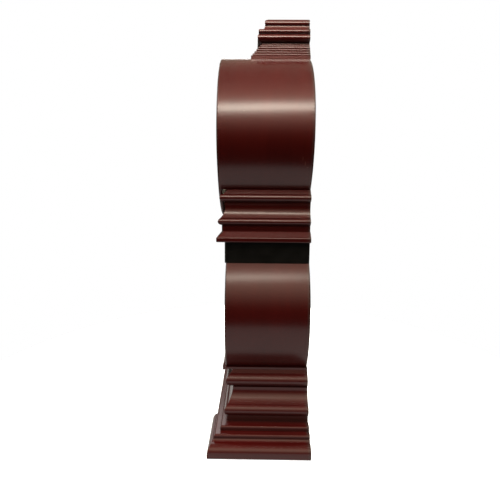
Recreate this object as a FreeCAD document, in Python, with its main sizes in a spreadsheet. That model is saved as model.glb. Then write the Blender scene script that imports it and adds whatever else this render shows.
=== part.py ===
import FreeCAD, Part
import Sketcher
import math
import os
from FreeCAD import Vector, Placement, Rotation

# Mantel clock: a round dial drum over a round pendulum drum, joined by a moulded waist,
# on a stepped plinth with two foot blocks, with a reeded crown at the back of the top.
# Row frame: +X to the clock's own left-hand side as seen from behind, front is -Y, +Z up.
# The origin is the middle of the footprint, on the table.

doc = FreeCAD.newDocument("MantelClock")
sheet = doc.addObject("Spreadsheet::Sheet", "Dims")

DIMS = [
    # case
    ("back_y", 48.5, "outer face of the back boards"),
    ("up_rad", 82.4, "dial drum outer radius"),
    ("up_z", 302.0, "dial drum centre height"),
    ("up_front", -41.5, "dial drum front face"),
    ("lo_rad", 88.9, "pendulum drum outer radius"),
    ("lo_z", 120.8, "pendulum drum centre height"),
    ("lo_front", -34.0, "pendulum drum front face"),
    ("board_t", 3.0, "front and back board thickness"),
    ("band_t", 6.0, "bent side band thickness"),
    ("rim_r", 1.3, "rounding of the drum board rims"),
    ("dial_open", 60.0, "dial opening radius"),
    ("win_open", 39.5, "pendulum window opening radius"),
    ("waist_top", 248.5, "top of the waist moulding"),
    ("waist_mid", 208.0, "top of the waist plate"),
    ("waist_bot", 198.0, "underside of the waist plate"),
    ("neck_bot", 176.5, "underside of the neck block"),
    ("neck_half", 67.8, "neck block half width"),
    ("neck_front", -35.1, "neck block front face"),
    ("pass_half", 20.0, "pendulum passage half width"),
    ("pass_front", -29.0, "pendulum passage front wall"),
    ("pass_back", -15.0, "pendulum passage back wall"),
    ("base_top", 71.5, "top of the drum seat"),
    ("seat_bot", 69.4, "top of the base moulding"),
    ("seat_half", 77.0, "drum seat half width"),
    ("base_bot", 22.6, "underside of the base moulding"),
    ("step_bot", 18.1, "underside of the base step"),
    ("foot_top", 14.9, "top of the foot blocks"),
    ("foot_half", 119.3, "half width over the feet"),
    ("foot_front", -48.5, "front of the feet"),
    ("foot_wide", 55.7, "width of one foot block"),
    ("pad_t", 0.6, "felt pad thickness"),
    ("pad_rad", 8.0, "felt pad radius"),
    ("waist_kx", 19.0, "waist moulding: depth less half width"),
    ("plate_kx", 14.7, "waist plate: depth less half width"),
    ("base_kx", 10.5, "base moulding: half width less depth"),
    ("crown_kx", 26.0, "crown: depth less half width"),
    # dial and doors
    ("panel_front", -35.5, "front of the dial panel"),
    ("panel_t", 4.0, "dial panel thickness"),
    ("panel_rad", 76.2, "dial panel radius"),
    ("dial_rad", 68.0, "dial plate radius"),
    ("dial_t", 1.2, "dial plate thickness"),
    ("ring_out", 57.2, "chapter ring outer radius"),
    ("ring_in", 41.0, "chapter ring inner radius"),
    ("bez_out", 64.5, "door bezel outer radius"),
    ("bez_in", 56.0, "door bezel sight radius"),
    ("win_out", 44.0, "window bezel outer radius"),
    ("win_in", 36.0, "window bezel sight radius"),
    ("door_gap", 0.25, "gap behind a closed bezel"),
    ("bez_t", 1.6, "bezel flange thickness"),
    ("pin_rad", 0.8, "hinge pin radius"),
    ("pin_clear", 0.06, "hinge pin radial clearance"),
    ("knuckle_rad", 1.7, "hinge knuckle radius"),
    # movement
    ("mov_half", 28.0, "movement half width"),
    ("mov_top", 330.0, "movement top"),
    ("mov_bot", 256.0, "movement bottom"),
    ("mov_front", -31.5, "movement front face"),
    ("mov_split", -24.0, "joint between the movement shells"),
    ("mov_back", -11.5, "movement back face"),
    ("mov_wall", 1.6, "movement wall thickness"),
    ("gear_c", 12.0, "motion work centre distance"),
    ("arbor_rad", 1.2, "minute arbor radius"),
    ("pipe_rad", 2.1, "hour pipe radius"),
    ("bush_rad", 3.9, "threaded bush radius"),
    ("run_clear", 0.05, "running clearance, radial"),
    ("batt_rad", 7.1, "battery radius"),
    ("batt_len", 49.0, "battery length"),
    ("batt_z", 266.5, "battery axis height"),
    ("batt_y", -20.3, "battery axis depth"),
    # pendulum
    ("pend_y", -22.0, "pendulum plane"),
    ("pend_z", 252.0, "pendulum pivot height"),
    ("bob_z", 120.8, "bob centre height"),
    ("bob_rad", 21.0, "bob radius"),
    ("bob_half", 3.2, "bob half thickness"),
    # service door
    ("hatch_half", 38.0, "service door half width"),
    ("hatch_low", 266.0, "service door bottom"),
    ("hatch_high", 346.0, "service door top"),
]
VAL = {}
for i, (alias, value, note) in enumerate(DIMS):
    row = i + 1
    sheet.set("A%d" % row, note)
    sheet.set("B%d" % row, str(value))
    sheet.setAlias("B%d" % row, alias)
    VAL[alias] = float(value)
doc.recompute()


class Q:
    """A length that knows its value and the spreadsheet expression behind it."""

    def __init__(self, v, e):
        self.v = float(v)
        self.e = e

    def __add__(self, o):
        o = q(o)
        return Q(self.v + o.v, "(%s + %s)" % (self.e, o.e))

    def __radd__(self, o):
        return q(o) + self

    def __sub__(self, o):
        o = q(o)
        return Q(self.v - o.v, "(%s - %s)" % (self.e, o.e))

    def __rsub__(self, o):
        return q(o) - self

    def __mul__(self, o):
        o = q(o)
        return Q(self.v * o.v, "(%s * %s)" % (self.e, o.e))

    def __rmul__(self, o):
        return q(o) * self

    def __truediv__(self, o):
        o = q(o)
        return Q(self.v / o.v, "(%s / %s)" % (self.e, o.e))

    def __neg__(self):
        return Q(-self.v, "(0 - %s)" % self.e)


def q(x):
    if isinstance(x, Q):
        return x
    x = round(float(x), 6)
    return Q(x, "%r" % x if x >= 0 else "(0 - %r)" % abs(x))


def D(alias):
    return Q(VAL[alias], "Dims." + alias)


def root(x):
    return Q(math.sqrt(x.v), "sqrt(%s)" % x.e)


def bind(obj, prop, value):
    value = q(value)
    obj.setExpression(prop, value.e)
    return value.v


NODES = []


def new_body(label):
    b = doc.addObject("PartDesign::Body", label)
    b.Label = label
    NODES.append(b)
    return b


def plane(body, role):
    for f in body.Origin.OriginFeatures:
        if f.Role == role:
            return f
    raise ValueError(role)


COUNT = [0]


def name(stem):
    COUNT[0] += 1
    return "%s%03d" % (stem, COUNT[0])


def sketch(body, role, loops, at, shift=(0.0, 0.0)):
    """A fully constrained sketch on one of the body's own planes.

    A loop is ("circle", u, v, r) or a list of corners (u, v) or (u, v, rise), traversed
    with the inside on the left. rise bows the side after that corner outwards.
    """
    sk = body.newObject("Sketcher::SketchObject", name("Sketch"))
    sk.AttachmentSupport = [(plane(body, role), "")]
    sk.MapMode = "FlatFace"
    at, su, sv = q(at), q(shift[0]), q(shift[1])
    sk.AttachmentOffset = Placement(Vector(su.v, sv.v, at.v), Rotation())
    bind(sk, "AttachmentOffset.Base.x", su)
    bind(sk, "AttachmentOffset.Base.y", sv)
    bind(sk, "AttachmentOffset.Base.z", at)
    geo, cons, exprs = [], [], []

    def fix(gi, pos, u, v):
        for kind, c, axis in (("DistanceX", u, -2), ("DistanceY", v, -1)):
            if abs(c.v) < 1e-9:
                cons.append(Sketcher.Constraint("PointOnObject", gi, pos, axis))
            else:
                cons.append(Sketcher.Constraint(kind, -1, 1, gi, pos, c.v))
                exprs.append((len(cons) - 1, c))

    for loop in loops:
        if loop[0] == "circle":
            u, v, r = q(loop[1]), q(loop[2]), q(loop[3])
            gi = len(geo)
            geo.append(Part.Circle(Vector(u.v, v.v, 0), Vector(0, 0, 1), r.v))
            if abs(u.v) < 1e-9 and abs(v.v) < 1e-9:
                cons.append(Sketcher.Constraint("Coincident", gi, 3, -1, 1))
            else:
                fix(gi, 3, u, v)
            cons.append(Sketcher.Constraint("Radius", gi, r.v))
            exprs.append((len(cons) - 1, r))
            continue
        pts = [(q(p[0]), q(p[1]), (q(p[2]) if len(p) > 2 and p[2] is not None else None)) for p in loop]
        first = len(geo)
        n = len(pts)
        ends = []
        for i in range(n):
            a, b = pts[i], pts[(i + 1) % n]
            gi = first + i
            ax, ay, bx, by = a[0].v, a[1].v, b[0].v, b[1].v
            if a[2] is None or abs(a[2].v) < 1e-9:
                geo.append(Part.LineSegment(Vector(ax, ay, 0), Vector(bx, by, 0)))
                ends.append((1, 2))
            else:
                rise = a[2]
                du, dv = b[0] - a[0], b[1] - a[1]
                chord2 = du * du + dv * dv
                rad = (chord2 / 4.0 + rise * rise) / (2.0 * (rise if rise.v > 0 else -rise))
                ch = math.sqrt(chord2.v)
                nx, ny = (by - ay) / ch, -(bx - ax) / ch
                back = rad.v - abs(rise.v)
                sgn = 1.0 if rise.v > 0 else -1.0
                cx = (ax + bx) / 2 - nx * back * sgn
                cy = (ay + by) / 2 - ny * back * sgn
                a0, a1 = math.atan2(ay - cy, ax - cx), math.atan2(by - cy, bx - cx)
                if rise.v < 0:
                    a0, a1 = a1, a0
                while a1 <= a0:
                    a1 += 2 * math.pi
                geo.append(Part.ArcOfCircle(Part.Circle(Vector(cx, cy, 0), Vector(0, 0, 1), rad.v), a0, a1))
                ends.append((1, 2) if rise.v > 0 else (2, 1))
                cons.append(Sketcher.Constraint("Radius", gi, rad.v))
                exprs.append((len(cons) - 1, rad))
        for i in range(n):
            gi = first + i
            cons.append(Sketcher.Constraint("Coincident", first + (i - 1) % n, ends[(i - 1) % n][1], gi, ends[i][0]))
            fix(gi, ends[i][0], pts[i][0], pts[i][1])
    sk.addGeometry(geo, False)
    sk.addConstraint(cons)
    for index, value in exprs:
        sk.setExpression("Constraints[%d]" % index, value.e)
    sk.Visibility = False
    return sk


def pad(body, role, loops, a, b):
    """Material between coordinates a < b along the plane's own axis."""
    a, b = q(a), q(b)
    sk = sketch(body, role, loops, -b if role == "XZ_Plane" else a)
    f = body.newObject("PartDesign::Pad", name("Pad"))
    f.Profile = sk
    f.Length = (b - a).v
    bind(f, "Length", b - a)
    return f


def pocket(body, role, loops, a, b):
    """Removes what lies between coordinates a < b along the plane's own axis."""
    a, b = q(a), q(b)
    sk = sketch(body, role, loops, -a if role == "XZ_Plane" else b)
    f = body.newObject("PartDesign::Pocket", name("Pocket"))
    f.Profile = sk
    f.Length = (b - a).v
    bind(f, "Length", b - a)
    return f


def turn_y(body, pts, x, z, groove=False):
    """Revolves (y, radius) about the line through (x, z) along Y."""
    sk = sketch(body, "YZ_Plane", [pts], x, (0.0, z))
    f = body.newObject("PartDesign::Groove" if groove else "PartDesign::Revolution", name("Turn"))
    f.Profile = sk
    f.ReferenceAxis = (sk, ["H_Axis"])
    f.Angle = 360.0
    return f


def turn_z(body, pts, x, y):
    """Revolves (radius, z) about the line through (x, y) along Z."""
    sk = sketch(body, "XZ_Plane", [pts], -q(y), (x, 0.0))
    f = body.newObject("PartDesign::Revolution", name("Turn"))
    f.Profile = sk
    f.ReferenceAxis = (sk, ["V_Axis"])
    f.Angle = 360.0
    return f


def rect(u0, v0, u1, v1):
    return [(u0, v0), (u1, v0), (u1, v1), (u0, v1)]


def mirrored(profile, kx):
    """Front-view outline of a moulded block from its right-hand edge profile."""
    right = [(q(p[0]) + (p[3] if len(p) > 3 else kx), q(p[1]), p[2]) for p in profile]
    left = []
    for i in range(len(right) - 1, -1, -1):
        rise = right[i - 1][2] if i > 0 else None
        left.append((-right[i][0], right[i][1], rise))
    right[-1] = (right[-1][0], right[-1][1], None)
    return right + left


def moulding(body, profile, kx, y_back):
    """A block moulded on its front and both sides, flat at the back.

    profile is (o, z, rise) from the bottom up, o being how far the edge stands in front
    of the back plane. The half width is o + kx, or o + a fourth entry of the corner's own.
    A fifth entry is a rise for the front where it differs from the sides.
    """
    back = D("back_y")
    front_most = back - q(max(p[0] if not isinstance(p[0], Q) else p[0].v for p in profile) + 6.0)
    pad(body, "XZ_Plane", [mirrored(profile, kx)], front_most, y_back)
    lo, hi = q(profile[0][1]), q(profile[-1][1])
    far = front_most - 4.0
    first, last = profile[0], profile[-1]
    loop = [(far, lo - 1.0), (back - q(first[0]), lo - 1.0)]
    for i, p in enumerate(profile):
        o, z, r = p[0], p[1], p[4] if len(p) > 4 else p[2]
        rise = None if r is None or i == len(profile) - 1 else -q(r)
        loop.append((back - q(o), q(z), rise))
    loop.append((back - q(last[0]), hi + 1.0))
    loop.append((far, hi + 1.0))
    pocket(body, "YZ_Plane", [loop], -135.0, 135.0)


def round_rim(body, radius, y, z):
    """Rounds the circular edge of the given radius lying in the plane at y."""
    doc.recompute()
    tip = body.Tip
    names = []
    for i, e in enumerate(tip.Shape.Edges):
        c = getattr(e, "Curve", None)
        if isinstance(c, Part.Circle) and abs(c.Radius - q(radius).v) < 0.01 and abs(c.Center.y - q(y).v) < 0.01 and abs(c.Center.z - q(z).v) < 0.01:
            names.append("Edge%d" % (i + 1))
    f = body.newObject("PartDesign::Fillet", name("Rim"))
    f.Base = (tip, names)
    f.Radius = D("rim_r").v
    bind(f, "Radius", D("rim_r"))
    return f


def cut_passage(body, z0, z1):
    pocket(body, "XY_Plane", [rect(-D("pass_half"), D("pass_front"), D("pass_half"), D("pass_back"))], z0, z1)


BACK = D("back_y")
BT = D("board_t")

# ---------------------------------------------------------------- feet and plinth
pads = doc.addObject("Part::Compound", "felt_pads")
links = []
for sx in (-1, 1):
    for y in (-36.0, 36.0):
        c = doc.addObject("Part::Cylinder", "PadDisc")
        bind(c, "Radius", D("pad_rad"))
        bind(c, "Height", D("pad_t"))
        bind(c, "Placement.Base.x", (D("foot_half") - D("foot_wide") / 2.0) * sx)
        bind(c, "Placement.Base.y", y)
        links.append(c)
pads.Links = links
pads.Label = "felt_pads"
NODES.append(pads)

foot_side = [  # outward distance from the foot's own outer face, height, rise
    (-0.8, D("pad_t"), 0.3), (0.0, D("pad_t") + 1.0, None), (0.0, 5.1, 2.0), (-6.8, 12.1, None),
    (-8.0, 12.1, -0.9), (-11.7, D("foot_top") - 0.3, None), (-11.7, D("foot_top"), None),
]
foot_nose = [  # the same moulding, steeper, across the front of the foot
    (-0.8, D("pad_t"), 0.3), (0.0, D("pad_t") + 1.0, None), (0.0, 5.1, 0.85), (-3.3, 12.1, None),
    (-4.0, 12.1, -0.45), (-5.5, D("foot_top") - 0.3, None), (-5.5, D("foot_top"), None),
]
for side, label in ((1, "foot_right"), (-1, "foot_left")):
    b = new_body(label)
    prof = [(D("foot_half") + o, z, r) for o, z, r in foot_side]
    inner = D("foot_half") - D("foot_wide")
    if side > 0:
        loop = [(p[0], p[1], p[2]) for p in prof[:-1]] + [(prof[-1][0], prof[-1][1], None), (inner, D("foot_top")), (inner, D("pad_t"))]
    else:
        loop = [(-inner, D("pad_t")), (-inner, D("foot_top"))]
        rev = prof[::-1]
        for i, p in enumerate(rev):
            loop.append((-p[0], p[1], rev[i + 1][2] if i + 1 < len(rev) else None))
    pad(b, "XZ_Plane", [loop], D("foot_front") - 2.0, BACK)
    face = D("foot_front")
    cut = [(face - 8.0, 0.2), (face + 0.8, 0.2)]
    for i, (o, z, r) in enumerate(foot_nose):
        cut.append((face - q(o), q(z), None if r is None else -q(r)))
    cut += [(face + 5.5, D("foot_top") + 1.0), (face - 8.0, D("foot_top") + 1.0)]
    pocket(b, "YZ_Plane", [cut], -135.0, 135.0)

b = new_body("base_plate")
moulding(b, [(90.7, D("foot_top"), 0.2), (91.3, D("foot_top") + 0.7, None), (91.3, D("step_bot") - 1.6, 0.45), (89.7, D("step_bot"), None)],
         16.9, BACK)
b = new_body("base_step")
moulding(b, [(85.4, D("step_bot"), -0.25), (85.8, D("step_bot") + 0.8, None), (85.8, D("base_bot") - 1.6, 0.45), (84.2, D("base_bot"), None)],
         15.7, BACK)

b = new_body("base_moulding")
moulding(b, [
    (79.7, D("base_bot"), None, 11.6), (79.7, 27.4, None, 11.6), (77.4, 28.4, 4.2, 14.1), (78.9, 39.4, None, 12.1),
    (78.9, 39.6, -2.5, 12.1, -0.9), (74.4, 53.2, None, 8.2), (74.4, 53.5, None, 6.6), (77.2, 53.8, 4.2, 3.8), (77.2, 65.6, None, 2.2),
    (76.6, 66.0, None, 1.8), (75.6, D("seat_bot"), None, 1.6),
], D("base_kx"), BACK)
pocket(b, "XY_Plane", [rect(-72.0, -18.0, 72.0, 34.0)], D("base_bot"), D("base_top") - 16.0)
b = new_body("drum_seat")
pad(b, "XY_Plane", [rect(-D("seat_half"), D("lo_front") - 0.2, D("seat_half"), BACK)], D("seat_bot"), D("base_top"))

# ---------------------------------------------------------------- pendulum drum
LZ, LR, LF = D("lo_z"), D("lo_rad"), D("lo_front")
for side, label in ((1, "lower_side_right"), (-1, "lower_side_left")):
    b = new_body(label)
    pad(b, "XZ_Plane", [("circle", 0, LZ, LR), ("circle", 0, LZ, LR - D("band_t"))], LF + BT, BACK - BT)
    pocket(b, "XZ_Plane", [rect(-95.0, D("neck_bot"), 95.0, 240.0)], LF, BACK)
    pocket(b, "XZ_Plane", [rect(-95.0, 10.0, 95.0, D("base_top"))], LF, BACK)
    pocket(b, "XZ_Plane", [rect(*((-95.0, 60.0, 0.0, 190.0) if side > 0 else (0.0, 60.0, 95.0, 190.0)))], LF, BACK)

b = new_body("lower_front_board")
pad(b, "XZ_Plane", [("circle", 0, LZ, LR)], LF, LF + BT)
round_rim(b, LR, LF, LZ)
pocket(b, "XZ_Plane", [rect(-95.0, D("neck_bot"), 95.0, 240.0)], LF - 1.0, LF + BT + 1.0)
pocket(b, "XZ_Plane", [rect(-95.0, 10.0, 95.0, D("base_top"))], LF - 1.0, LF + BT + 1.0)
pocket(b, "XZ_Plane", [("circle", 0, LZ, D("win_open"))], LF - 1.0, LF + BT + 1.0)
b = new_body("lower_back_board")
pad(b, "XZ_Plane", [("circle", 0, LZ, LR)], BACK - BT, BACK)
round_rim(b, LR, BACK, LZ)
pocket(b, "XZ_Plane", [rect(-95.0, D("neck_bot"), 95.0, 240.0)], BACK - BT - 1.0, BACK + 1.0)
pocket(b, "XZ_Plane", [rect(-95.0, 10.0, 95.0, D("base_top"))], BACK - BT - 1.0, BACK + 1.0)

b = new_body("neck_block")
pad(b, "XY_Plane", [rect(-D("neck_half"), D("neck_front"), D("neck_half"), BACK)], D("neck_bot"), D("waist_bot"))
cut_passage(b, D("neck_bot") - 1.0, D("waist_bot") + 1.0)

# ---------------------------------------------------------------- waist
b = new_body("waist_plate")
moulding(b, [
    (90.2, D("waist_bot"), 0.3), (91.2, D("waist_bot") + 1.4, None), (91.2, 201.8, 0.35), (89.8, 203.3, None), (84.6, D("waist_mid"), None),
], -D("plate_kx"), BACK)
cut_passage(b, D("waist_bot") - 1.0, D("waist_mid") + 1.0)

b = new_body("waist_moulding")
moulding(b, [
    (86.4, D("waist_mid"), None), (86.4, 213.9, None), (87.0, 214.3, 3.1), (87.0, 220.7, None),
    (87.9, 221.0, -2.1), (84.0, 234.4, None), (84.0, 236.6, None), (85.2, 236.9, 3.4), (85.2, 244.0, None),
    (84.9, 244.2, None), (81.3, D("waist_top"), None),
], -D("waist_kx"), BACK)
UZ, UR, UF = D("up_z"), D("up_rad"), D("up_front")
pocket(b, "XZ_Plane", [("circle", 0, UZ, UR)], UF - 6.0, UF + BT)
pocket(b, "XZ_Plane", [("circle", 0, UZ, UR - D("band_t"))], UF + BT - 1.0, D("panel_front") + D("panel_t"))
cut_passage(b, D("waist_mid") - 1.0, D("waist_top") + 1.0)

# ---------------------------------------------------------------- dial drum
b = new_body("upper_band")
pad(b, "XZ_Plane", [("circle", 0, UZ, UR), ("circle", 0, UZ, UR - D("band_t"))], UF + BT, BACK - BT)
pocket(b, "XZ_Plane", [rect(-90.0, 210.0, 90.0, D("waist_top"))], UF, BACK)
b = new_body("upper_front_board")
pad(b, "XZ_Plane", [("circle", 0, UZ, UR), ("circle", 0, UZ, D("dial_open"))], UF, UF + BT)
round_rim(b, UR, UF, UZ)
b = new_body("upper_back_board")
pad(b, "XZ_Plane", [("circle", 0, UZ, UR)], BACK - BT, BACK)
round_rim(b, UR, BACK, UZ)
pocket(b, "XZ_Plane", [rect(-90.0, 210.0, 90.0, D("waist_top"))], BACK - BT - 1.0, BACK + 1.0)
pocket(b, "XZ_Plane", [rect(-D("hatch_half") - 6.4, D("hatch_low") - 0.5, D("hatch_half") + 0.5, D("hatch_high") + 0.5)],
       BACK - BT - 1.0, BACK + 1.0)

# ---------------------------------------------------------------- crown
b = new_body("crown_base")
moulding(b, [
    (59.6, 370.0, None), (59.6, 380.9, None), (57.7, 381.1, 0.75), (57.0, 383.7, None), (55.8, 383.9, 0.75), (55.1, 386.5, None),
    (53.9, 386.7, 0.75), (53.2, 389.3, None), (52.0, 389.5, 0.75), (51.3, 392.1, None), (50.2, 392.3, 0.45), (49.2, 394.5, None),
], -D("crown_kx"), BACK)
pocket(b, "XZ_Plane", [("circle", 0, UZ, UR)], -45.0, BACK + 1.0)
b = new_body("crown_cap")
moulding(b, [
    (48.6, 394.5, None), (48.6, 396.6, None), (49.6, 397.0, 3.0), (50.8, 404.0, None), (50.4, 404.3, 2.3), (49.4, 409.0, None),
    (48.0, 409.3, -0.5), (45.6, 413.7, None), (44.6, 414.2, 2.0), (43.2, 420.4, None), (42.4, 421.1, None),
], -D("crown_kx"), BACK)

# ---------------------------------------------------------------- dial panel and dial
b = new_body("panel_hoop")
pad(b, "XZ_Plane", [("circle", 0, UZ, UR - D("band_t")), ("circle", 0, UZ, 67.0)], D("panel_front") + D("panel_t"), -21.5)
pocket(b, "XZ_Plane", [rect(-90.0, 210.0, 90.0, D("waist_top"))], -45.0, 0.0)
b = new_body("dial_panel")
PF = D("panel_front")
pad(b, "XZ_Plane", [("circle", 0, UZ, D("panel_rad"))], PF, PF + D("panel_t"))
pocket(b, "XZ_Plane", [("circle", 0, UZ, D("bush_rad") + 0.1)], PF - 1.0, PF + D("panel_t") + 1.0)
b = new_body("dial_plate")
DF = PF - D("dial_t")
pad(b, "XZ_Plane", [("circle", 0, UZ, D("dial_rad")), ("circle", 0, UZ, D("bush_rad") + 0.1)], DF, PF)
b = new_body("chapter_ring")
turn_y(b, [(DF, D("ring_in")), (DF, D("ring_out")), (DF - 0.5, D("ring_out")), (DF - 0.8, D("ring_out") - 0.5),
           (DF - 0.8, D("ring_in") + 0.5), (DF - 0.5, D("ring_in"))][::-1], 0, UZ)


def screws(label, places, y_seat, head_r, head_t, shank_r, shank_l, sign=1):
    """Round-head screws along Y: sign +1 has the head towards the front."""
    group = doc.addObject("Part::Compound", label)
    parts = []
    for x, z in places:
        head = doc.addObject("Part::Cylinder", "ScrewHead")
        shank = doc.addObject("Part::Cylinder", "ScrewShank")
        slot = doc.addObject("Part::Box", "ScrewSlot")
        for c, r, l, y in ((head, head_r, head_t, y_seat), (shank, shank_r, shank_l + head_t / 2, y_seat + sign * shank_l)):
            bind(c, "Radius", r)
            bind(c, "Height", l)
            c.Placement = Placement(Vector(0, 0, 0), Rotation(Vector(1, 0, 0), 90 if sign > 0 else -90))
            bind(c, "Placement.Base.x", x)
            bind(c, "Placement.Base.y", y)
            bind(c, "Placement.Base.z", z)
        both = doc.addObject("Part::Fuse", "ScrewBlank")
        both.Base, both.Tool = head, shank
        slot.Width = head_t
        slot.Length, slot.Height = head_r * 3, 0.7
        bind(slot, "Placement.Base.x", q(x) - head_r * 1.5)
        bind(slot, "Placement.Base.y", q(y_seat) - (head_t * 1.6 if sign > 0 else -head_t * 0.6))
        bind(slot, "Placement.Base.z", q(z) - 0.35)
        cut = doc.addObject("Part::Cut", "Screw")
        cut.Base, cut.Tool = both, slot
        parts.append(cut)
    group.Links = parts
    group.Label = label
    NODES.append(group)
    return group


ang = [math.radians(a) for a in (38, 142, 205, 335)]
hole_at = [(71.6 * math.cos(a), UZ + 71.6 * math.sin(a)) for a in ang]
for holder, y0, y1 in ((doc.getObject("dial_panel"), PF - 1.0, PF + D("panel_t") + 1.0), (doc.getObject("panel_hoop"), PF + D("panel_t") - 1.0, -23.5)):
    pocket(holder, "XZ_Plane", [("circle", x, z, 1.25) for x, z in hole_at], y0, y1)
screws("panel_screws", hole_at, PF, 2.8, 1.5, 1.2, 10.0)

# ---------------------------------------------------------------- glazed doors


def bare_body(label):
    b = doc.addObject("PartDesign::Body", label)
    b.Label = label
    return b


def group_of(label, members):
    g = doc.addObject("Part::Compound", label)
    g.Links = members
    g.Label = label
    NODES.append(g)
    return g


def hinge_leaf(label, x, z, face, leaf_len):
    """Fixed leaf with the middle knuckle and the pin of a door hinge; the axis is vertical."""
    axis_y = face - 1.9
    b = bare_body(label)
    pad(b, "XY_Plane", [("circle", x, axis_y, D("knuckle_rad"))], z - 4.0, z + 4.0)
    pad(b, "XY_Plane", [rect(q(x) - leaf_len, face - 0.7, x, face), ], z - 4.0, z + 4.0)
    pad(b, "XY_Plane", [rect(q(x) - 0.6, face - 1.6, q(x) + 0.6, face)], z - 4.0, z + 4.0)
    pad(b, "XY_Plane", [("circle", x, axis_y, D("pin_rad"))], z - 9.5, z + 9.5)
    return b


def glazed_door(prefix, cz, face, r_out, r_in, r_open, dome, hinge_x, glass_label, ring_label):
    gap = D("door_gap")
    rear = face - gap
    front = rear - D("bez_t")
    axis_y = face - 1.9
    b = new_body(prefix)
    lip_y = face + 2.2
    # ring section, (y, r), traversed with the metal on the left
    prof = [(front + 0.6, r_out), (rear, r_out), (rear, r_open - 0.7), (lip_y, r_open - 0.7), (lip_y, r_in + 2.6),
            (front + 0.9, r_in + 2.6), (front + 0.9, r_in), (front + 0.3, r_in), (front, r_in + 0.5),
            (front - 0.02, (r_out + r_in) / 2.0, None), (front, r_out - 0.9)]
    turn_y(b, [(p[0], p[1]) for p in prof][::-1], 0, cz)
    zq = q(cz)
    for s in (-1, 1):
        z0 = zq + (4.25 if s > 0 else -8.75)
        z1 = z0 + 4.5
        pad(b, "XY_Plane", [("circle", hinge_x, axis_y, D("knuckle_rad"))], z0, z1)
        pad(b, "XY_Plane", [rect(hinge_x, front + 0.1, -r_out + 1.6, rear - 0.1)], z0, z1)
        pocket(b, "XY_Plane", [("circle", hinge_x, axis_y, D("pin_rad") + D("pin_clear"))], z0 - 0.2, z1 + 0.2)
    g = new_body(glass_label)
    g0 = front + 0.9            # rim front
    g1 = g0 + 1.4               # rim back
    rr = r_in + 2.5
    if dome:
        h = dome
        r_f = r_in - 0.3
        rise = dome_rise(r_f.v, h)
        turn_y(g, [(g0 - h, 0.0), (g1 - h, 0.0), (g1 - h, 1.0, -rise), (g1, r_f), (g1, rr), (g0, rr), (g0, r_f, rise), (g0 - h, 1.0)], 0, cz)
    else:
        turn_y(g, [(g0, 0.0), (g1, 0.0), (g1, rr), (g0, rr)], 0, cz)
    k = new_body(ring_label)
    turn_y(k, [(g1, r_in + 0.4), (g1 + 1.0, r_in + 0.4), (g1 + 1.0, rr), (g1, rr)], 0, cz)
    return b


def dome_rise(r, h):
    """Rise of half of a shallow dome's section of radius r and height h over its own chord."""
    big = (r * r + h * h) / (2 * h)
    chord = math.hypot(r, h)
    return big - math.sqrt(big * big - chord * chord / 4)


HX = -(D("bez_out") + 5.0)
dial_leaf = hinge_leaf("dial_hinge_leaf", HX, UZ, UF, 9.0)
glazed_door("dial_bezel", UZ, UF, D("bez_out"), D("bez_in"), D("dial_open"), 4.6, HX, "dial_glass", "dial_glass_ring")
WX = -(D("win_out") + 5.0)
window_leaf = hinge_leaf("window_hinge_leaf", WX, LZ, LF, 9.0)
glazed_door("window_bezel", LZ, LF, D("win_out"), D("win_in"), D("win_open"), 0, WX, "window_glass", "window_glass_ring")

group_of("door_hinges", [dial_leaf, window_leaf])

# magnetic catches: a small block behind each front board, opposite the hinge
catches = []
for label, cz, face, r in (("dial_catch", UZ, UF, D("dial_open")), ("window_catch", LZ, LF, D("win_open"))):
    b = bare_body(label)
    pad(b, "XZ_Plane", [rect(r - 2.6, cz - 4.0, r + 5.0, cz + 4.0)], face + BT, face + BT + 1.5)
    catches.append(b)
group_of("door_catches", catches)

# ---------------------------------------------------------------- movement
MF, MS, MB, MW = D("mov_front"), D("mov_split"), D("mov_back"), D("mov_wall")
MH, MT, MO = D("mov_half"), D("mov_top"), D("mov_bot")
CX = D("gear_c")
RC = D("run_clear")
b = new_body("movement_front_shell")
pad(b, "XZ_Plane", [rect(-MH, MO, MH, MT)], MF, MS)
pocket(b, "XZ_Plane", [rect(-MH + MW, MO + MW, MH - MW, MT - MW)], MF + MW, MS + 1.0)
pad(b, "XZ_Plane", [("circle", 0, UZ, D("bush_rad"))], PF - D("dial_t") - 1.9, MF + 0.5)
pocket(b, "XZ_Plane", [("circle", 0, UZ, D("pipe_rad") + RC)], -45.0, MF + MW + 1.0)
pad(b, "XZ_Plane", [("circle", CX, UZ, 0.8)], MF + MW - 0.5, -21.0)
pad(b, "XZ_Plane", [("circle", CX, UZ - CX, 1.6)], MF + MW - 0.5, -25.6)
b = new_body("movement_rear_shell")
pad(b, "XZ_Plane", [rect(-MH, MO, MH, MT)], MS, MB)
pocket(b, "XZ_Plane", [rect(-MH + MW, MO + MW, MH - MW, MT - MW)], MS - 1.0, MB - MW)
pocket(b, "XZ_Plane", [rect(-26.0, D("batt_z") - 7.8, 26.0, D("batt_z") + 7.8)], MB - MW - 1.0, MB + 1.0)
pocket(b, "XZ_Plane", [("circle", CX, UZ - CX, 1.5 + RC)], MB - MW - 1.0, MB + 1.0)
pad(b, "XZ_Plane", [("circle", 0, UZ, 2.6)], -17.5, MB - 0.5)
pocket(b, "XZ_Plane", [("circle", 0, UZ, D("arbor_rad") + RC)], -18.5, MB - MW)
pad(b, "XZ_Plane", [rect(-26.4, D("batt_z") + 8.2, 26.4, D("batt_z") + 9.4)], -23.0, MB - 0.5)

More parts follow.
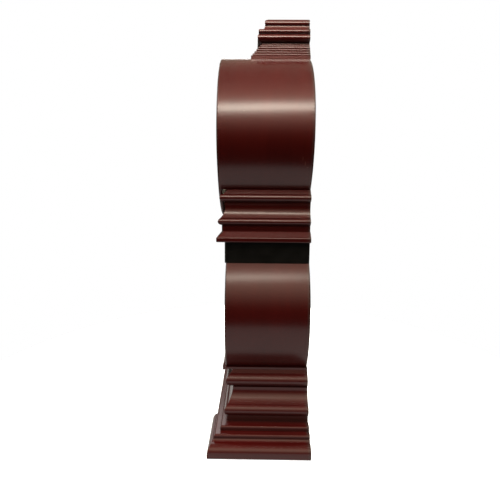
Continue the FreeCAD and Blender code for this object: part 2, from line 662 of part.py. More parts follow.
b = new_body("mounting_washer")
turn_y(b, [(DF - 0.4, D("bush_rad") + 0.1), (DF, D("bush_rad") + 0.1), (DF, 7.5), (DF - 0.4, 7.5)], 0, UZ)
b = new_body("mounting_nut")
hexr = 6.0
pad(b, "XZ_Plane", [[(hexr * math.cos(math.radians(60 * i)), UZ + hexr * math.sin(math.radians(60 * i))) for i in range(6)],
                    ("circle", 0, UZ, D("bush_rad") + 0.02)], DF - 1.9, DF - 0.4)


def gear_blank(label, module, teeth, y0, y1, cx, cz, bore, phase):
    """Straight-sided spur wheel, teeth round (cx, cz), between y0 and y1."""
    rp = module * teeth / 2.0
    ra, rf = rp + 0.80 * module, rp - 1.15 * module
    pitch = 2 * math.pi / teeth
    pts = []
    for k in range(teeth):
        a = phase + k * pitch
        for da, r in ((-0.30, rf), (-0.175, rp), (-0.09, ra), (0.09, ra), (0.175, rp), (0.30, rf)):
            t = a + da * pitch
            pts.append(Vector(cx + r * math.cos(t), y1, cz + r * math.sin(t)))
    pts.append(pts[0])
    face = Part.Face(Part.makePolygon(pts))
    solid = face.extrude(Vector(0, y0 - y1, 0))
    if bore:
        solid = solid.cut(Part.makeCylinder(bore, abs(y1 - y0) + 2, Vector(cx, min(y0, y1) - 1, cz), Vector(0, 1, 0)))
    return solid


def cyl(r, y0, y1, cx, cz):
    return Part.makeCylinder(r, y1 - y0, Vector(cx, y0, cz), Vector(0, 1, 0))


def feature(label, shape):
    f = doc.addObject("Part::Feature", label)
    f.Label = label
    f.Shape = shape
    NODES.append(f)
    return f


# toothed wheels of the motion work: no PartDesign feature makes a tooth, so these are shapes
cx0, cz0 = 0.0, sheet.get("up_z")
gc = float(sheet.get("gear_c"))
ar, pr, rc = float(sheet.get("arbor_rad")), float(sheet.get("pipe_rad")), float(sheet.get("run_clear"))
m1, m2 = gc * 2 / (12 + 36), gc * 2 / (10 + 40)
# the cannon pinion has a tooth on the line of centres, the wheel it drives has a gap there
arbor = cyl(ar, -41.6, -13.2, cx0, cz0)
cannon = gear_blank("cannon", m1, 12, -25.4, -23.8, cx0, cz0, 0, 0.0).fuse(arbor).removeSplitter()
feature("minute_arbor", cannon)
wheel = gear_blank("wheel", m1, 36, -25.4, -23.8, gc, cz0, 0, math.pi + math.pi / 36)
wheel = wheel.fuse(gear_blank("pinion", m2, 10, -28.6, -25.3, gc, cz0, 0, math.pi))
wheel = wheel.cut(cyl(0.8 + rc, -35, -10, gc, cz0)).removeSplitter()
feature("motion_wheel", wheel)
hour = gear_blank("hour", m2, 40, -28.6, -27.0, cx0, cz0, 0, math.pi / 40).fuse(cyl(pr, -39.9, -27.0, cx0, cz0))
hour = hour.cut(cyl(ar + rc, -45, -10, cx0, cz0)).removeSplitter()
feature("hour_wheel", hour)
knob = gear_blank("set", m1, 12, -25.4, -23.8, gc, cz0 - gc, 0, math.pi / 2 - math.pi / 12 + math.pi / 12)
knob = knob.fuse(cyl(1.5, -25.0, -10.9, gc, cz0 - gc))
feature("setting_arbor", knob.removeSplitter())

b = new_body("setting_knob")
pad(b, "XZ_Plane", [("circle", CX, UZ - CX, 6.0)], MB + 0.6, MB + 5.6)
n = 12
pocket(b, "XZ_Plane", [("circle", CX + 6.3 * math.cos(2 * math.pi * i / n), UZ - CX + 6.3 * math.sin(2 * math.pi * i / n), 0.9) for i in range(n)],
       MB, MB + 6.0)

# hands: tapered spade hands that point straight up at rest
def hand(label, y0, y1, hub, bore, tip, wide, tail):
    b = new_body(label)
    z = UZ
    loop = [
        (-hub * 0.55, z - tail, None), (hub * 0.55, z - tail, None), (hub * 0.45, z + 0.0, None), (hub * 0.34, z + tip * 0.52, None),
        (wide, z + tip * 0.66, 0.5), (hub * 0.30, z + tip * 0.80, None), (0.35, z + tip, None),
        (-0.35, z + tip, None), (-hub * 0.30, z + tip * 0.80, 0.5), (-wide, z + tip * 0.66, None), (-hub * 0.34, z + tip * 0.52, None),
        (-hub * 0.45, z + 0.0, None),
    ]
    pad(b, "XZ_Plane", [loop], y0, y1)
    pad(b, "XZ_Plane", [("circle", 0, z, hub)], y0, y1)
    pocket(b, "XZ_Plane", [("circle", 0, z, bore)], q(y0) - 1.0, q(y1) + 1.0)
    return b


hand("hour_hand", -39.7, -39.2, 3.9, D("pipe_rad"), 34.0, 4.4, 9.0)
hand("minute_hand", -41.0, -40.5, 3.1, D("arbor_rad"), 50.0, 3.4, 12.0)
b = new_body("hand_nut")
turn_y(b, [(-42.4, 0.0), (-41.6, 0.0), (-41.6, D("arbor_rad")), (-41.0, D("arbor_rad")), (-41.0, 2.4), (-41.7, 2.4), (-42.4, 1.4)], 0, UZ)

# coil, stator, circuit board, battery and its contacts
b = new_body("motor_coil")
pad(b, "YZ_Plane", [("circle", -21.5, 318.0, 4.2)], -22.0, -2.0)
b = new_body("motor_stator")
pad(b, "XZ_Plane", [rect(-25.0, 311.5, -22.0, 324.5), ], -24.5, -18.5)
pad(b, "XZ_Plane", [rect(-2.0, 311.5, 1.0, 324.5)], -24.5, -18.5)
b = new_body("circuit_board")
pad(b, "XZ_Plane", [rect(6.0, 312.0, 26.4, 327.0)], -21.0, -19.4)
b = new_body("battery")
BZ, BY, BL = D("batt_z"), D("batt_y"), D("batt_len")
pad(b, "YZ_Plane", [("circle", BY, BZ, D("batt_rad"))], -BL / 2.0, BL / 2.0 - 1.0)
pad(b, "YZ_Plane", [("circle", BY, BZ, 2.7)], BL / 2.0 - 1.2, BL / 2.0)
plus = bare_body("contact_plus")
pad(plus, "YZ_Plane", [rect(BY - 5.0, BZ - 5.5, BY + 5.0, BZ + 5.5)], BL / 2.0, MH - MW)
minus = bare_body("contact_minus")
pad(minus, "YZ_Plane", [rect(BY - 5.0, BZ - 5.5, BY + 5.0, BZ + 5.5)], -MH + MW, -BL / 2.0 - 1.4)
pad(minus, "YZ_Plane", [("circle", BY, BZ, 3.0)], -BL / 2.0 - 1.5, -BL / 2.0)
group_of("battery_contacts", [plus, minus])

# ---------------------------------------------------------------- pendulum
PY, PZ = D("pend_y"), D("pend_z")
b = new_body("pendulum_bracket")
pad(b, "XZ_Plane", [rect(-4.0, PZ - 2.4, 4.0, MO)], PY + 1.4, PY + 2.6)
pad(b, "XZ_Plane", [rect(-4.0, PZ - 2.4, 4.0, MO)], PY - 2.6, PY - 1.4)
pad(b, "XY_Plane", [rect(-6.0, PY - 2.6, 6.0, PY + 2.6)], MO - 1.2, MO)
pad(b, "XZ_Plane", [("circle", 0, PZ, D("pin_rad"))], PY - 2.0, PY + 2.0)
b = new_body("pendulum_rod")
pad(b, "XZ_Plane", [[(-1.5, D("bob_z") - 26.0), (1.5, D("bob_z") - 26.0), (1.5, PZ - 2.2), (-1.5, PZ - 2.2)]], PY - 0.5, PY + 0.5)
pad(b, "XZ_Plane", [("circle", 0, PZ, 2.6)], PY - 0.5, PY + 0.5)
pocket(b, "XZ_Plane", [("circle", 0, PZ, D("pin_rad") + D("pin_clear"))], PY - 1.0, PY + 1.0)
b = new_body("pendulum_bob")
BH, BR = D("bob_half"), D("bob_rad")
turn_y(b, [(PY - BH, 0.0), (PY + BH, 0.0), (PY + BH, 1.0, 0.9), (PY + 0.6, BR), (PY - 0.6, BR, 0.9), (PY - BH, 1.0)], 0, D("bob_z"))
pocket(b, "XZ_Plane", [rect(-1.5, D("bob_z") - 30.0, 1.5, D("bob_z") + 30.0)], PY - 0.5, PY + 0.5)
b = new_body("rating_nut")
turn_z(b, [(0.0, D("bob_z") - 26.0), (3.0, D("bob_z") - 25.4), (3.0, D("bob_z") - 22.4), (0.0, D("bob_z") - 21.9)], 0, PY)
pocket(b, "XZ_Plane", [rect(-1.5, D("bob_z") - 30.0, 1.5, D("bob_z") + 30.0)], PY - 0.5, PY + 0.5)

# ---------------------------------------------------------------- service door at the back
HH, HL, HT = D("hatch_half"), D("hatch_low"), D("hatch_high")
hy = BACK - 1.5
hx = -HH - 2.4
mid = (HL + HT) / 2.0
b = new_body("service_door")
pad(b, "XZ_Plane", [rect(-HH, HL, HH, HT)], BACK - BT, BACK)
pocket(b, "XZ_Plane", [("circle", HH - 9.0, mid, 8.0)], BACK - 1.2, BACK + 1.0)
for dz in (-26.0, 26.0):
    z0, z1 = mid + dz - 6.0, mid + dz + 6.0
    pad(b, "XY_Plane", [("circle", hx, hy, 1.4)], z0, z1)
    pad(b, "XY_Plane", [rect(hx, hy - 0.5, -HH + 0.5, hy + 0.5)], z0, z1)
    pocket(b, "XY_Plane", [("circle", hx, hy, 0.7 + D("pin_clear"))], z0 - 0.2, z1 + 0.2)
b = new_body("service_hinge")
pad(b, "XY_Plane", [("circle", hx, hy, 0.7)], mid - 40.0, mid + 40.0)
for dz in (-26.0, 26.0):
    for s in (-1, 1):
        z0 = mid + dz + (6.15 if s > 0 else -10.15)
        pad(b, "XY_Plane", [("circle", hx, hy, 1.4)], z0, z0 + 4.0)
        pad(b, "XY_Plane", [rect(-HH - 6.4, hy - 0.5, hx, hy + 0.5)], z0, z0 + 4.0)
b = new_body("service_catch")
pad(b, "XZ_Plane", [rect(HH - 4.0, mid - 6.0, HH + 7.0, mid + 6.0)], BACK - BT - 5.0, BACK - BT - 0.2)
pad(b, "XZ_Plane", [rect(HH + 0.7, mid - 6.0, HH + 7.0, mid + 6.0)], BACK - BT - 1.0, BACK - BT)

# ---------------------------------------------------------------- case fixings
def wood_screws(label, places, z_head, length, sign=1):
    """Countersunk screws along Z: sign +1 drives upwards from a head at z_head."""
    group = doc.addObject("Part::Compound", label)
    parts = []
    for x, y in places:
        head = doc.addObject("Part::Cone", "ScrewHead")
        bind(head, "Radius1", 3.4 if sign > 0 else 1.6)
        bind(head, "Radius2", 1.6 if sign > 0 else 3.4)
        bind(head, "Height", 2.0)
        shank = doc.addObject("Part::Cylinder", "ScrewShank")
        bind(shank, "Radius", 1.6)
        bind(shank, "Height", length)
        for c, z in ((head, z_head if sign > 0 else q(z_head) - 2.0), (shank, z_head if sign > 0 else q(z_head) - length)):
            bind(c, "Placement.Base.x", x)
            bind(c, "Placement.Base.y", y)
            bind(c, "Placement.Base.z", z)
        both = doc.addObject("Part::Fuse", "Screw")
        both.Base, both.Tool = head, shank
        parts.append(both)
    group.Links = parts
    group.Label = label
    NODES.append(group)


foot_places = [(s * 91.0, y) for s in (-1, 1) for y in (-22.0, 22.0)]
wood_screws("foot_screws", foot_places, D("pad_t"), 20.0)
waist_places = [(s * 46.0, y) for s in (-1, 1) for y in (-12.0, 28.0)]
wood_screws("waist_screws", waist_places, D("neck_bot"), 44.0)
crown_places = [(0.0, y) for y in (8.0, 34.0)]
wood_screws("crown_screws", crown_places, UZ + UR - D("band_t") + 0.0, 24.0)


def drill(label, places, z0, z1, r, head_z=None, head_h=2.0):
    holder = doc.getObject(label)
    pocket(holder, "XY_Plane", [("circle", x, y, r) for x, y in places], z0, z1)
    if head_z is not None:
        for x, y in places:
            sk = sketch(holder, "XZ_Plane", [[(0.0, head_z), (3.4, head_z), (1.6, head_z + head_h), (0.0, head_z + head_h)]], -q(y), (x, 0.0))
            f = holder.newObject("PartDesign::Groove", name("Sink"))
            f.Profile = sk
            f.ReferenceAxis = (sk, ["V_Axis"])
            f.Angle = 360.0


drill("foot_left", foot_places[:2], D("pad_t") - 0.5, D("foot_top") + 1.0, 1.6, D("pad_t"))
drill("foot_right", foot_places[2:], D("pad_t") - 0.5, D("foot_top") + 1.0, 1.6, D("pad_t"))
drill("base_plate", foot_places, D("foot_top") - 1.0, D("step_bot") + 1.0, 1.6)
drill("base_step", foot_places, D("step_bot") - 1.0, D("pad_t") + 20.0, 1.6)
drill("neck_block", waist_places, D("neck_bot") - 1.0, D("waist_bot") + 1.0, 1.6, D("neck_bot"))
drill("waist_plate", waist_places, D("waist_bot") - 1.0, D("waist_mid") + 1.0, 1.6)
drill("waist_moulding", waist_places, D("waist_mid") - 1.0, D("neck_bot") + 44.0, 1.6)
top_in = UZ + UR - D("band_t")
drill("upper_band", crown_places, top_in - 4.0, top_in + 10.0, 1.6)
pocket(doc.getObject("upper_band"), "XY_Plane", [("circle", x, y, 3.4) for x, y in crown_places], top_in - 4.0, top_in + 2.0)
drill("crown_base", crown_places, top_in + 2.0, 395.5, 1.6)
drill("crown_cap", crown_places, 393.5, top_in + 24.0, 1.6)

doc.recompute()

bad = []
for o in doc.Objects:
    if "Invalid" in o.State or "Error" in o.State:
        bad.append("%s %s" % (o.Name, o.State))
for o in NODES:
    if o.Shape.isNull() or not o.Shape.isValid() or not o.Shape.Solids:
        bad.append("%s: no valid solid" % o.Label)
if bad:
    raise RuntimeError("; ".join(bad))
os.makedirs("parts", exist_ok=True)
for o in NODES:
    o.Shape.exportStep("parts/%s.step" % o.Label)
print("wrote %d parts" % len(NODES))
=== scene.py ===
import math
import bmesh
import bpy
from mathutils import Matrix, Quaternion, Vector


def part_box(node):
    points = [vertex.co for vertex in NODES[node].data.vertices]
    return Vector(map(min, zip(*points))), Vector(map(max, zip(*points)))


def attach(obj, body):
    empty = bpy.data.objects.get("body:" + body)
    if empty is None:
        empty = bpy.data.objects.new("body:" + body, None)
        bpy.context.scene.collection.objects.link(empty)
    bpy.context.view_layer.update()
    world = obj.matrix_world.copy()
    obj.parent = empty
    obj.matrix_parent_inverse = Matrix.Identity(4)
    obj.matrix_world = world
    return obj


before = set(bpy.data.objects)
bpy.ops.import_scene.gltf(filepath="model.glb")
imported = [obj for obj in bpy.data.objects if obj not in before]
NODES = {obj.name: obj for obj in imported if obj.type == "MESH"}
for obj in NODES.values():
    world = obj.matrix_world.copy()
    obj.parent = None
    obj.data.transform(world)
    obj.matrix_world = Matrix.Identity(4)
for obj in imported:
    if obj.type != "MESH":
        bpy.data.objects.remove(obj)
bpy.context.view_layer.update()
scene = bpy.context.scene
scene.view_settings.view_transform = "Standard"
scene.view_settings.look = "None"

MM = 0.001

# ------------------------------------------------------------------ camera
YAW, PITCH, ROLL = -0.0109, -0.1507, 0.0078
fwd = Vector((-math.cos(YAW) * math.cos(PITCH), math.sin(YAW) * math.cos(PITCH), math.sin(PITCH)))
side = Vector((math.sin(YAW), math.cos(YAW), 0.0))
up = side.cross(fwd)
right = side * math.cos(ROLL) + up * math.sin(ROLL)
up = up * math.cos(ROLL) - side * math.sin(ROLL)
cam_data = bpy.data.cameras.new("camera")
cam = bpy.data.objects.new("camera", cam_data)
scene.collection.objects.link(cam)
cam_data.sensor_width = 36.0
cam_data.lens = 36.0 * 385.95 / 500.0
cam_data.clip_start, cam_data.clip_end = 0.01, 50.0
cam.matrix_world = Matrix((
    (right.x, up.x, -fwd.x, 0.44370),
    (right.y, up.y, -fwd.y, -0.00609),
    (right.z, up.z, -fwd.z, 0.24665),
    (0, 0, 0, 1)))
scene.camera = cam


# ------------------------------------------------------------------ node helpers
class Mat:
    """Builds one node material."""

    def __init__(self, name):
        self.m = bpy.data.materials.new(name)
        self.m.use_nodes = True
        self.t = self.m.node_tree
        self.t.nodes.clear()
        self.out = self.t.nodes.new("ShaderNodeOutputMaterial")
        self.bsdf = self.t.nodes.new("ShaderNodeBsdfPrincipled")
        self.t.links.new(self.bsdf.outputs[0], self.out.inputs["Surface"])
        places = self.t.nodes.new("ShaderNodeTexCoord")
        self.coord = places.outputs["Object"]
        self.normal = places.outputs["Normal"]

    def link(self, a, b):
        self.t.links.new(a, b)

    def set(self, **kw):
        for k, v in kw.items():
            s = self.bsdf.inputs[k.replace("_", " ")]
            if hasattr(v, "is_output"):
                self.link(v, s)
            else:
                s.default_value = v
        return self

    def scaled(self, x, y, z, loc=(0, 0, 0), rot=(0, 0, 0), src=None):
        n = self.t.nodes.new("ShaderNodeMapping")
        n.inputs["Scale"].default_value = (x, y, z)
        n.inputs["Location"].default_value = loc
        n.inputs["Rotation"].default_value = rot
        self.link(src or self.coord, n.inputs["Vector"])
        return n.outputs[0]

    def noise(self, vec, scale=1.0, detail=4.0, rough=0.5, distort=0.0, lac=2.0):
        n = self.t.nodes.new("ShaderNodeTexNoise")
        n.inputs["Scale"].default_value = scale
        n.inputs["Detail"].default_value = detail
        n.inputs["Roughness"].default_value = rough
        n.inputs["Lacunarity"].default_value = lac
        n.inputs["Distortion"].default_value = distort
        self.link(vec, n.inputs["Vector"])
        return n.outputs[0]

    def ramp(self, fac, stops, interp="LINEAR"):
        n = self.t.nodes.new("ShaderNodeValToRGB")
        n.color_ramp.interpolation = interp
        e = n.color_ramp.elements
        while len(e) < len(stops):
            e.new(0.5)
        for i, (p, c) in enumerate(stops):
            e[i].position = p
            e[i].color = (c[0], c[1], c[2], 1.0) if hasattr(c, "__len__") else (c, c, c, 1.0)
        self.link(fac, n.inputs[0])
        return n.outputs[0]

    def math(self, op, a, b=None, c=None, clamp=False):
        n = self.t.nodes.new("ShaderNodeMath")
        n.operation = op
        n.use_clamp = clamp
        for i, v in enumerate((a, b, c)):
            if v is None:
                continue
            if hasattr(v, "is_output"):
                self.link(v, n.inputs[i])
            else:
                n.inputs[i].default_value = v
        return n.outputs[0]

    def span(self, v, a, b, c=0.0, d=1.0, smooth=False):
        n = self.t.nodes.new("ShaderNodeMapRange")
        n.interpolation_type = "SMOOTHSTEP" if smooth else "LINEAR"
        n.clamp = True
        for key, val in (("From Min", a), ("From Max", b), ("To Min", c), ("To Max", d)):
            n.inputs[key].default_value = val
        self.link(v, n.inputs["Value"])
        return n.outputs[0]

    def mix(self, fac, a, b, blend="MIX"):
        n = self.t.nodes.new("ShaderNodeMix")
        n.data_type = "RGBA"
        n.blend_type = blend
        for key, v in ((0, fac), (6, a), (7, b)):
            if hasattr(v, "is_output"):
                self.link(v, n.inputs[key])
            elif key == 0:
                n.inputs[key].default_value = v
            else:
                n.inputs[key].default_value = (v[0], v[1], v[2], 1.0)
        return n.outputs[2]

    def xyz(self, src=None):
        n = self.t.nodes.new("ShaderNodeSeparateXYZ")
        self.link(src or self.coord, n.inputs[0])
        return n.outputs

    def bump(self, height, strength, distance, normal=None):
        n = self.t.nodes.new("ShaderNodeBump")
        n.inputs["Strength"].default_value = strength
        n.inputs["Distance"].default_value = distance
        self.link(height, n.inputs["Height"])
        if normal is not None:
            self.link(normal, n.inputs["Normal"])
        return n.outputs[0]


def distance(m, point, src=None):
    n = m.t.nodes.new("ShaderNodeVectorMath")
    n.operation = "DISTANCE"
    m.link(src or m.coord, n.inputs[0])
    n.inputs[1].default_value = point
    return n.outputs["Value"]


def lacquer(name, grain, marks=(), edge_reflection_bands=()):
    """Deep red-brown mahogany under satin lacquer. grain scales x, y, z of the figure."""
    m = Mat(name)
    fig = m.noise(m.scaled(*grain), 1.0, 6.0, 0.6, 0.8)
    fine = m.noise(m.scaled(grain[0] * 5, grain[1] * 5, grain[2] * 5), 1.0, 3.0, 0.6)
    broad = m.noise(m.coord, 11.0, 3.0, 0.5)
    base = m.ramp(fig, [(0.28, (0.011, 0.0002, 0.0002)), (0.50, (0.015, 0.0003, 0.0003)), (0.74, (0.021, 0.0006, 0.0005))])
    base = m.mix(m.span(fine, 0.50, 0.72, 0.0, 0.20), base, (0.007, 0.0002, 0.0002))
    base = m.mix(m.span(broad, 0.35, 0.7, 0.0, 0.30), base, (0.024, 0.0008, 0.0006))
    xyz = m.xyz()
    facing = m.xyz(m.normal)[1]
    # Painted reflection: each entry (axis, position, width, strength) paints a dark neutral band along a board's
    # rounded arris, standing in for the dark surroundings reflected there, made patchy by noise.
    for axis, at, width, strength in edge_reflection_bands:
        near = m.math("ABSOLUTE", m.math("SUBTRACT", xyz[axis], at * MM))
        edge = m.span(m.math("ABSOLUTE", facing), 0.90, 0.985, 1.0, 0.0)
        near = m.math("ADD", near, m.math("SUBTRACT", 0.05, m.math("MULTIPLY", edge, 0.05)))
        painted_edge_reflection = m.math("MULTIPLY", m.span(near, width * 0.35 * MM, width * MM, strength, 0.0, True), m.span(m.noise(m.coord, 220.0, 3.0), 0.25, 0.6, 0.55, 1.0))
        base = m.mix(painted_edge_reflection, base, (0.012, 0.0085, 0.0075))
    rough = m.math("ADD", m.span(m.noise(m.coord, 70.0, 4.0, 0.6), 0.3, 0.7, 0.53, 0.61), m.span(broad, 0.3, 0.7, -0.02, 0.02))
    smear = m.noise(m.scaled(26, 60, 34, rot=(0.5, 0.2, 0.3)), 1.0, 5.0, 0.62, 1.2)
    rough = m.math("ADD", rough, m.span(smear, 0.52, 0.72, 0.0, 0.05))
    for (px, py, pz), (ex, ey, ez), tilt, kind in marks:
        v = m.scaled(1 / (ex * MM), 1 / (ey * MM), 1 / (ez * MM), src=None)
        loc = (px / ex, py / ey, pz / ez)
        d = distance(m, loc, v)
        mask = m.span(d, 0.55, 1.0, 1.0, 0.0, True)
        if kind == "dark":
            base = m.mix(m.math("MULTIPLY", mask, 0.8), base, (0.010, 0.0030, 0.0025))
        else:
            base = m.mix(m.math("MULTIPLY", mask, 0.5), base, (0.09, 0.03, 0.02))
            rough = m.math("ADD", rough, m.math("MULTIPLY", mask, 0.2))
    nrm = m.bump(m.noise(m.coord, 480.0, 2.0, 0.45), 0.06, 0.0004)
    nrm = m.bump(fine, 0.02, 0.0002, nrm)
    nrm = m.bump(m.noise(m.coord, 26.0, 2.0, 0.5), 0.06, 0.0006, nrm)
    m.set(Base_Color=base, Roughness=rough, IOR=1.52, Specular_IOR_Level=0.5, Specular_Tint=(1.0, 0.05, 0.03, 1.0), Coat_Weight=1.0, Coat_Roughness=0.24, Coat_IOR=1.5, Normal=nrm)
    m.link(nrm, m.bsdf.inputs["Coat Normal"])
    return m.m


def ebony(name):
    m = Mat(name)
    n = m.noise(m.scaled(30, 30, 260), 1.0, 5.0, 0.6)
    p = m.noise(m.scaled(160, 160, 900), 1.0, 2.0)
    base = m.ramp(n, [(0.3, (0.0022, 0.0019, 0.0018)), (0.7, (0.0062, 0.0048, 0.0042))])
    base = m.mix(m.span(p, 0.62, 0.75, 0.0, 0.5), base, (0.012, 0.008, 0.0065))
    m.set(Base_Color=base, Roughness=m.span(m.noise(m.coord, 90.0, 4.0), 0.3, 0.7, 0.30, 0.42), IOR=1.35,
          Normal=m.bump(p, 0.12, 0.0003))
    return m.m


def metal(name, lo, hi, rough, tarnish=(0.30, 0.18, 0.06), amount=0.35, brush=None, centre=None):
    """Lacquered or plated metal. brush scales fine lines; centre (x, z) turns them round an axis along Y."""
    m = Mat(name)
    w = m.noise(m.coord, 45.0, 5.0, 0.6)
    if centre is not None:
        xyz = m.xyz()
        dx = m.math("SUBTRACT", xyz[0], centre[0] * MM)
        dz = m.math("SUBTRACT", xyz[2], centre[1] * MM)
        rad = m.math("SQRT", m.math("ADD", m.math("MULTIPLY", dx, dx), m.math("MULTIPLY", dz, dz)))
        comb = m.t.nodes.new("ShaderNodeCombineXYZ")
        m.link(rad, comb.inputs[0])
        m.link(m.math("MULTIPLY", xyz[1], 0.5), comb.inputs[1])
        lines = m.noise(m.scaled(2600, 600, 1, src=comb.outputs[0]), 1.0, 3.0, 0.7)
    else:
        lines = m.noise(m.scaled(*(brush or (500, 500, 500))), 1.0, 4.0, 0.6)
    base = m.ramp(w, [(0.3, lo), (0.7, hi)])
    base = m.mix(m.span(m.noise(m.coord, 130.0, 6.0, 0.65), 0.52, 0.74, 0.0, amount), base, tarnish)
    m.set(Base_Color=base, Metallic=1.0,
          Roughness=m.math("ADD", m.span(lines, 0.3, 0.7, rough - 0.05, rough + 0.07), m.span(w, 0.3, 0.7, -0.03, 0.05)),
          Normal=m.bump(lines, 0.12, 0.0002))
    return m.m


def plastic(name, lo, hi, rough=0.45, grain=900.0, depth=0.12, specks=None):
    m = Mat(name)
    n = m.noise(m.coord, grain, 3.0)
    base = m.ramp(m.noise(m.coord, 50.0, 4.0), [(0.3, lo), (0.7, hi)])
    if specks:
        base = m.mix(m.span(m.noise(m.coord, 420.0, 2.0), 0.66, 0.74, 0.0, 0.6), base, specks)
    m.set(Base_Color=base, Roughness=m.span(n, 0.3, 0.7, rough - 0.05, rough + 0.08), Normal=m.bump(n, depth, 0.0002))
    return m.m


def felt(name):
    m = Mat(name)
    n = m.noise(m.coord, 1600.0, 5.0, 0.7, 1.5)
    m.set(Base_Color=m.ramp(n, [(0.3, (0.006, 0.014, 0.008)), (0.7, (0.02, 0.045, 0.026))]), Roughness=m.span(n, 0.3, 0.7, 0.85, 1.0),
          Sheen_Weight=0.4, Sheen_Roughness=0.5, Normal=m.bump(n, 0.6, 0.0006))
    return m.m


def ply(name):
    m = Mat(name)
    xyz = m.xyz()
    plies = m.math("FRACT", m.math("MULTIPLY", m.math("ADD", xyz[1], m.math("MULTIPLY", m.noise(m.coord, 60.0), 0.00035)), 880.0))
    face = m.noise(m.scaled(22, 40, 420), 1.0, 6.0, 0.62, 1.2)
    pale = m.ramp(face, [(0.28, (0.46, 0.31, 0.17)), (0.55, (0.60, 0.44, 0.26)), (0.75, (0.68, 0.52, 0.33))])
    base = m.mix(m.span(plies, 0.44, 0.56, 0.0, 0.28, True), pale, (0.33, 0.20, 0.10))
    m.set(Base_Color=base, Roughness=m.span(face, 0.3, 0.7, 0.55, 0.72), Normal=m.bump(face, 0.15, 0.0004))
    return m.m


def enamel(name):
    m = Mat(name)
    w = m.noise(m.coord, 28.0, 5.0, 0.6)
    base = m.ramp(w, [(0.3, (0.70, 0.65, 0.52)), (0.7, (0.80, 0.76, 0.64))])
    base = m.mix(m.span(m.noise(m.coord, 260.0, 5.0, 0.7), 0.64, 0.78, 0.0, 0.35), base, (0.46, 0.38, 0.26))
    far = distance(m, (0.0, m_front, 0.302))
    base = m.mix(m.span(far, 0.050, 0.068, 0.0, 0.30), base, (0.52, 0.44, 0.30))
    m.set(Base_Color=base, Roughness=m.span(w, 0.3, 0.7, 0.30, 0.40), Coat_Weight=0.3, Coat_Roughness=0.15,
          Normal=m.bump(m.noise(m.coord, 300.0, 3.0), 0.05, 0.0002))
    return m.m


def wound(name):
    m = Mat(name)
    xyz = m.xyz()
    turns = m.math("SINE", m.math("MULTIPLY", m.math("ADD", xyz[0], m.math("MULTIPLY", xyz[2], 0.06)), 26000.0))
    base = m.mix(m.span(turns, -0.6, 0.8), (0.24, 0.06, 0.018), (0.62, 0.22, 0.08))
    m.set(Base_Color=base, Metallic=0.6, Roughness=m.span(m.noise(m.coord, 500.0), 0.3, 0.7, 0.28, 0.42), Normal=m.bump(turns, 0.5, 0.0002))
    return m.m


def circuit(name):
    m = Mat(name)
    b = m.t.nodes.new("ShaderNodeTexBrick")
    b.offset = 0.37
    b.inputs["Scale"].default_value = 1.0
    b.inputs["Mortar Size"].default_value = 0.08
    b.inputs["Brick Width"].default_value = 1.6
    b.inputs["Row Height"].default_value = 0.7
    v = m.t.nodes.new("ShaderNodeCombineXYZ")
    xyz = m.xyz()
    m.link(m.math("MULTIPLY", xyz[0], 700.0), v.inputs[0])
    m.link(m.math("MULTIPLY", xyz[2], 700.0), v.inputs[1])
    m.link(v.outputs[0], b.inputs["Vector"])
    base = m.mix(b.outputs["Fac"], (0.008, 0.085, 0.030), (0.020, 0.17, 0.060))
    m.set(Base_Color=base, Roughness=m.span(m.noise(m.coord, 300.0), 0.3, 0.7, 0.28, 0.40), Normal=m.bump(b.outputs["Fac"], 0.3, 0.0002))
    return m.m


def sleeve(name, box):
    """Printed battery sleeve: a dark body with a copper band at the positive end."""
    m = Mat(name)
    xyz = m.xyz()
    lo, hi = box
    axis = max(range(3), key=lambda i: hi[i] - lo[i])
    t = m.span(xyz[axis], lo[axis], hi[axis])
    n = m.noise(m.coord, 300.0, 3.0)
    dark = m.ramp(n, [(0.3, (0.012, 0.012, 0.014)), (0.7, (0.020, 0.020, 0.024))])
    base = m.mix(m.span(t, 0.70, 0.712), dark, (0.42, 0.20, 0.07))
    m.set(Base_Color=base, Metallic=m.span(t, 0.70, 0.712, 0.0, 0.8), Roughness=m.span(n, 0.3, 0.7, 0.24, 0.34), Normal=m.bump(n, 0.05, 0.0002))
    return m.m


def glass(name):
    m = Mat(name)
    n = m.noise(m.coord, 60.0, 4.0, 0.6)
    m.set(Base_Color=(0.97, 1.0, 0.985, 1), Transmission_Weight=1.0, IOR=1.5,
          Roughness=m.span(n, 0.5, 0.8, 0.0, 0.035), Normal=m.bump(m.noise(m.coord, 18.0, 2.0), 0.05, 0.0005))
    clear = m.t.nodes.new("ShaderNodeBsdfTransparent")
    clear.inputs[0].default_value = (0.95, 0.97, 0.96, 1)
    path = m.t.nodes.new("ShaderNodeLightPath")
    mixer = m.t.nodes.new("ShaderNodeMixShader")
    m.link(path.outputs["Is Shadow Ray"], mixer.inputs[0])
    m.link(m.bsdf.outputs[0], mixer.inputs[1])
    m.link(clear.outputs[0], mixer.inputs[2])
    m.link(mixer.outputs[0], m.out.inputs["Surface"])
    return m.m


def ink(name):
    m = Mat(name)
    n = m.noise(m.coord, 700.0, 4.0, 0.6)
    m.set(Base_Color=m.ramp(n, [(0.3, (0.004, 0.004, 0.005)), (0.75, (0.016, 0.015, 0.015))]),
          Roughness=m.span(n, 0.3, 0.7, 0.32, 0.46), Normal=m.bump(n, 0.1, 0.0001))
    return m.m


